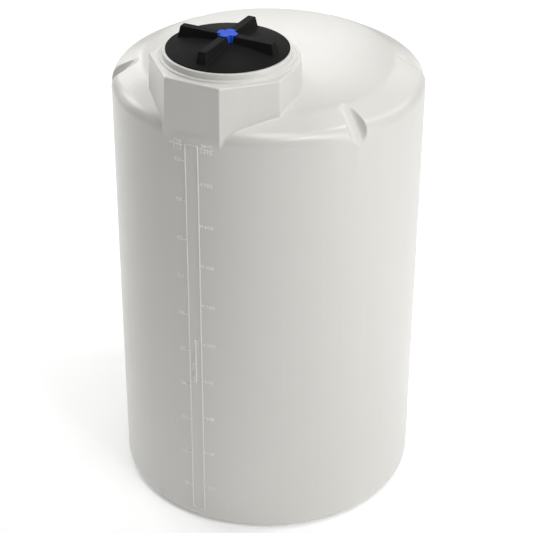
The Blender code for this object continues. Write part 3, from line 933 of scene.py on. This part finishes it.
def vent_cap():
    """Blue breather cap: a thin plate with four lobes over the ribs, on a cross that clasps their sides."""
    steps = 144

    def reach(angle):
        share = abs((math.degrees(angle) + 45) % 90 - 45)
        lobe = 0.0393 - 0.0022 * (share / 26) ** 2
        notch = 0.0270 + 0.0036 * ((45 - share) / 10) ** 2
        return float(smooth_min(np.array(lobe), np.array(notch), 0.0030))

    vertices = []
    rows = [(0.015, VENT_TOP, 0.0), (0.45, VENT_TOP, 0.0)]
    rows += [(1.0, VENT_TOP - 0.0012 * (1 - math.cos(turn)), 0.0012 * (1 - math.sin(turn)))
             for turn in np.linspace(0.0, math.pi / 2, 5)]
    rows += [(1.0, VENT_PLATE + 0.0006, 0.0), (1.0, VENT_PLATE, 0.0006), (0.5, VENT_PLATE, 0.0)]
    for share, height, inset in rows:
        for step in range(steps):
            angle = 2 * math.pi * step / steps
            vertices.append(around(reach(angle) * share - inset, height, angle))
    faces = loft(steps, len(rows))
    faces.append(tuple(range(steps)))
    faces.append(tuple(range((len(rows) - 1) * steps, len(rows) * steps)))

    start = len(vertices)
    levels = (VENT_PLATE + 0.0003, 2.051, 2.045, 2.039, 2.0345, lid_height(0.0) - 0.0012)
    for height in levels:
        drop = VENT_PLATE - height
        half = VENT_ARM_HALF + drop * RIB_DRAFT
        arm = VENT_ARM_TOP + (VENT_ARM_FOOT - VENT_ARM_TOP) * drop / (VENT_PLATE - LID_CENTRE)
        corners = [(arm, -half), (arm, half), (half, half), (half, arm), (-half, arm), (-half, half),
                   (-arm, half), (-arm, -half), (-half, -half), (-half, -arm), (half, -arm), (half, -half)]
        outline = rounded(corners, [0.0022, 0.0022, 0.0010] * 4, 4)
        vertices += [(x, y - NECK_OFFSET, height) for x, y in outline]
    size = len(outline)
    faces += loft(size, len(levels), start)
    faces.append(tuple(range(start, start + size)))
    faces.append(tuple(range(start + (len(levels) - 1) * size, start + len(levels) * size)))
    add_piece("vent_rosette", vertices, faces, vent_material, "lid", ["vent_cap"], turn_out=True)


vent_cap()


# Raised gauge on the front wall

def on_wall(arc, height, lift):
    """Point over the front wall, no further forward than the gauge's frame."""
    turn = arc / RADIUS
    reach = min(RADIUS + lift, GAUGE_FRONT / math.cos(turn))
    return (reach * math.sin(turn), -reach * math.cos(turn), height)


def raised_line(path, width, rise, closed=False):
    """Round-edged bead along a path of (arc, height) points, with rounded ends."""
    path = [np.array(point, float) for point in path]
    count = len(path)
    stations = []
    for index, point in enumerate(path):
        before = path[index - 1] if index or closed else path[index]
        after = path[(index + 1) % count] if index < count - 1 or closed else path[index]
        along = (after - before) / np.linalg.norm(after - before)
        stations.append((point, np.array((-along[1], along[0])), 1.0))
    if not closed:
        ends = []
        for (spot, side, _), way in ((stations[0], 1), (stations[-1], -1)):
            inward = np.array((side[1], -side[0])) * way * width / 2
            ends.append([(spot + inward * (1 - math.sin(turn)), side, math.cos(turn) ** 0.8)
                         for turn in (1.45, 1.1, 0.75, 0.4)] + [(spot + inward, side, 1.0)])
        stations = ends[0] + stations[1:-1] + ends[1][::-1]
    half = [(-1.0, 0.0), (-0.98, 0.45), (-0.93, 0.75), (-0.80, 0.93), (-0.50, 1.0)]
    shape = half + [(0.0, 1.0)] + [(-across, up) for across, up in reversed(half)]
    vertices = []
    for point, side, size in stations:
        for across, up in shape:
            spot = point + side * across * width / 2 * size
            lift = -0.0003 + (rise + 0.0003) * up * size ** 0.6
            vertices.append(on_wall(spot[0], spot[1], lift))
    faces = []
    total = len(stations)
    size = len(shape)
    for index in range(total if closed else total - 1):
        after = (index + 1) % total
        for step in range(size - 1):
            here, on = index * size + step, after * size + step
            faces.append((here, on, on + 1, here + 1))
    return vertices, faces


def joined(parts):
    vertices, faces = [], []
    for part_vertices, part_faces in parts:
        start = len(vertices)
        vertices += part_vertices
        faces += [tuple(index + start for index in face) for face in part_faces]
    return vertices, faces


def rail_path():
    """Rounded rectangle of the gauge's frame."""
    corner = 0.0065
    low, high = GAUGE_BOTTOM + corner, GAUGE_TOP - corner
    side = RAIL_ARC - corner
    points = []
    for x, z, start, end in ((side, low, -90, (side, high)), (side, high, 0, (-side, high)),
                             (-side, high, 90, (-side, low)), (-side, low, 180, (side, low))):
        for step in range(7):
            turn = math.radians(start + 15 * step)
            points.append((x + corner * math.cos(turn), z + corner * math.sin(turn)))
        push = np.array((math.cos(turn), math.sin(turn))) * corner
        stations = 24 if abs(end[1] - z) > abs(end[0] - x) else 4
        for step in range(1, stations):
            share = step / stations
            spot = np.array((x, z)) * (1 - share) + np.array(end) * share + push
            points.append(tuple(spot))
    return points


# The frame's beads take a lighter copy of the shell's polyethylene: painted light.
vertices, faces = raised_line(rail_path(), *RAIL, closed=True)
add_piece("gauge_rails", vertices, faces, painted_light_rail_material, "tank", ["gauge_frame"], even=False, turn_out=True)

lines = []
for step, count, arcs in ((GALLON_STEP, 10, GALLON_TICK), (LITRE_STEP, 9, LITRE_TICK)):
    for number in range(1, count + 1):
        lines.append(raised_line([(arc, ZERO_HEIGHT + number * step) for arc in arcs], *TICK))
for first, last, height in ((-0.0940, -0.0370, 1.7205), (0.0350, 0.0880, 1.7215)):
    lines.append(raised_line([(first, height), ((first + last) / 2, height), (last, height)], *HEAD_LINE))
lines.append(raised_line([(0.0005, height) for height in np.linspace(0.890, 0.684, 12)], *MIDDLE_LINE))
vertices, faces = joined(lines)
# Ticks and lines take the lightest copy of the shell's polyethylene: painted light.
add_piece("gauge_marks", vertices, faces, painted_light_mark_material, "tank", even=False, turn_out=True)


def raised_text(text, width, tall, arc, height, upward=False):
    """Moulded text laid round the wall, centred on a height, or read upwards from one."""
    curve = bpy.data.curves.new("lettering", "FONT")
    curve.body = text
    curve.size = 1.0
    curve.resolution_u = 3
    curve.extrude = 0.025
    curve.bevel_depth = 0.030
    curve.bevel_resolution = 2
    curve.offset = -0.022
    curve.space_character = 1.08
    holder = bpy.data.objects.new("lettering", curve)
    bpy.context.scene.collection.objects.link(holder)
    graph = bpy.context.evaluated_depsgraph_get()
    mesh = holder.evaluated_get(graph).to_mesh()
    spots = np.array([tuple(vertex.co) for vertex in mesh.vertices])
    faces = [tuple(face.vertices) for face in mesh.polygons]
    holder.evaluated_get(graph).to_mesh_clear()
    bpy.data.objects.remove(holder)
    bpy.data.curves.remove(curve)
    low, high = spots.min(0), spots.max(0)
    across, up, out = ((spots - low) / (high - low)).T
    across, up, lift = across * width, up * tall, (2 * out - 1) * NUMBER_RISE
    if upward:
        arcs, heights = arc - up, height + across
    else:
        arcs, heights = arc + across, height + up - tall / 2
    return [on_wall(*spot) for spot in zip(arcs, heights, lift)], faces


labels = []
for number in range(1, 11):
    text = str(50 * number)
    width = 0.0092 * len(text)
    labels.append(raised_text(text, width, NUMBER_TALL, -0.0455 - width, ZERO_HEIGHT + number * GALLON_STEP))
for number in range(1, 10):
    text = str(200 * number)
    width = 0.0110 * len(text)
    labels.append(raised_text(text, width, NUMBER_TALL, 0.0400, ZERO_HEIGHT + number * LITRE_STEP))
for text, width, arc, height in (("750", 0.035, -0.078, 1.7330), ("525", 0.035, -0.078, 1.7080),
                                 ("2840", 0.043, 0.040, 1.7345), ("1970", 0.043, 0.040, 1.7090)):
    labels.append(raised_text(text, width, 0.0155, arc, height))
labels.append(raised_text("GALLONS", 0.0948, 0.0140, -0.0040, 0.6826, upward=True))
labels.append(raised_text("LITERS", 0.0600, 0.0115, 0.0155, 0.8275, upward=True))
vertices, faces = joined(labels)
# The numbers and words take the lightest copy of the shell's polyethylene: painted light.
add_piece("gauge_numbers", vertices, faces, painted_light_mark_material, "tank", even=False)


# Studio

FLOOR_GLOW = 0.18


def studio():
    half, level = 30.0, -0.0005
    mesh = bpy.data.meshes.new("studio_floor")
    corners = [(-half, -half, level), (half, -half, level), (half, half, level), (-half, half, level)]
    mesh.from_pydata(corners, [], [(0, 1, 2, 3)])
    floor_object = bpy.data.objects.new("studio_floor", mesh)
    bpy.context.scene.collection.objects.link(floor_object)
    material, tree, shader = principled("studio_floor")
    fill(tree, shader, {"Base Color": (0.95, 0.95, 0.95, 1.0), "Roughness": 0.9,
                        "Emission Color": (1.0, 1.0, 1.0, 1.0), "Emission Strength": FLOOR_GLOW})
    mesh.materials.append(material)


studio()


# Soft boxes round the tank: turn to the right of the camera and rise above the middle, in degrees, and
# power in watts. The powers were fitted to the shading in the photograph.
WIDE_BOXES = (
    (0, 76, 80), (30, 8, 1), (60, 8, 107), (120, 30, 19), (120, 76, 5), (135, 54, 13), (150, 8, 16),
    (150, 30, 27), (180, 8, 13), (180, 30, 43), (-120, 8, 27), (-120, 30, 97), (-120, 76, 8),
    (-135, 54, 65), (-150, 8, 25), (-150, 30, 70),
)
KEY_BOXES = (
    (0, 60, 31), (15, 44, 17), (30, 44, 56), (30, 60, 19), (45, 30, 47), (45, 44, 6), (90, 44, 22),
    (90, 60, 63), (105, 30, 19), (105, 44, 2),
)
WIDE_SIZE, KEY_SIZE = 2.5, 1.0
WORLD_LIGHT = 0.076
LIGHT_DISTANCE = 7.0
PHOTO_PIXELS = 533
SENSOR_WIDTH = 36
CAMERA_TURN = math.radians(27.323)


def add_soft_box(name, size, turn, rise, power):
    angle, lift = CAMERA_TURN + math.radians(turn), math.radians(rise)
    middle = Vector((0.0, 0.0, 1.0))
    away = Vector((math.cos(lift) * math.sin(angle), -math.cos(lift) * math.cos(angle), math.sin(lift)))
    data = bpy.data.lights.new(name, "AREA")
    data.shape = "SQUARE"
    data.size = size
    data.energy = power
    light = bpy.data.objects.new(name, data)
    light.location = middle + away * LIGHT_DISTANCE
    light.rotation_mode = "QUATERNION"
    light.rotation_quaternion = away.to_track_quat("Z", "Y")
    bpy.context.scene.collection.objects.link(light)


world = bpy.data.worlds.new("studio")
world.use_nodes = True
fill(world.node_tree, world.node_tree.nodes["Background"],
     {"Color": (1.0, 1.0, 1.0, 1.0), "Strength": WORLD_LIGHT})
bpy.context.scene.world = world

for number, soft_box in enumerate(WIDE_BOXES):
    add_soft_box(f"wide_box_{number}", WIDE_SIZE, *soft_box)
for number, soft_box in enumerate(KEY_BOXES):
    add_soft_box(f"key_box_{number}", KEY_SIZE, *soft_box)


def add_camera():
    """Camera solved from the photograph: angles in radians, focal length in the photograph's pixels."""
    turn, pitch, yaw, roll = CAMERA_TURN, 0.537622525, -0.000923945, 0.003171596
    distance, height, focal = 5.86943660, 4.39582892, 1643.80861
    forward = np.array([math.sin(yaw) * math.cos(pitch), math.cos(yaw) * math.cos(pitch), -math.sin(pitch)])
    right = np.array([math.cos(yaw), -math.sin(yaw), 0.0])
    up = np.cross(right, forward)
    right, up = math.cos(roll) * right + math.sin(roll) * up, -math.sin(roll) * right + math.cos(roll) * up
    spin = np.array([[math.cos(turn), -math.sin(turn), 0], [math.sin(turn), math.cos(turn), 0], [0, 0, 1]])
    place = spin @ np.array([0.0, -distance, height])
    axes = [spin @ right, spin @ up, -(spin @ forward)]
    data = bpy.data.cameras.new("camera")
    data.lens = focal / PHOTO_PIXELS * SENSOR_WIDTH
    data.sensor_width = SENSOR_WIDTH
    data.clip_start, data.clip_end = 0.1, 200
    camera = bpy.data.objects.new("camera", data)
    rows = [[*axis, shift] for axis, shift in zip(np.transpose(axes), place)]
    camera.matrix_world = Matrix(rows + [[0.0, 0.0, 0.0, 1.0]])
    bpy.context.scene.collection.objects.link(camera)
    bpy.context.scene.camera = camera


add_camera()
bpy.context.scene.view_settings.view_transform = "Standard"

bpy.context.view_layer.update()
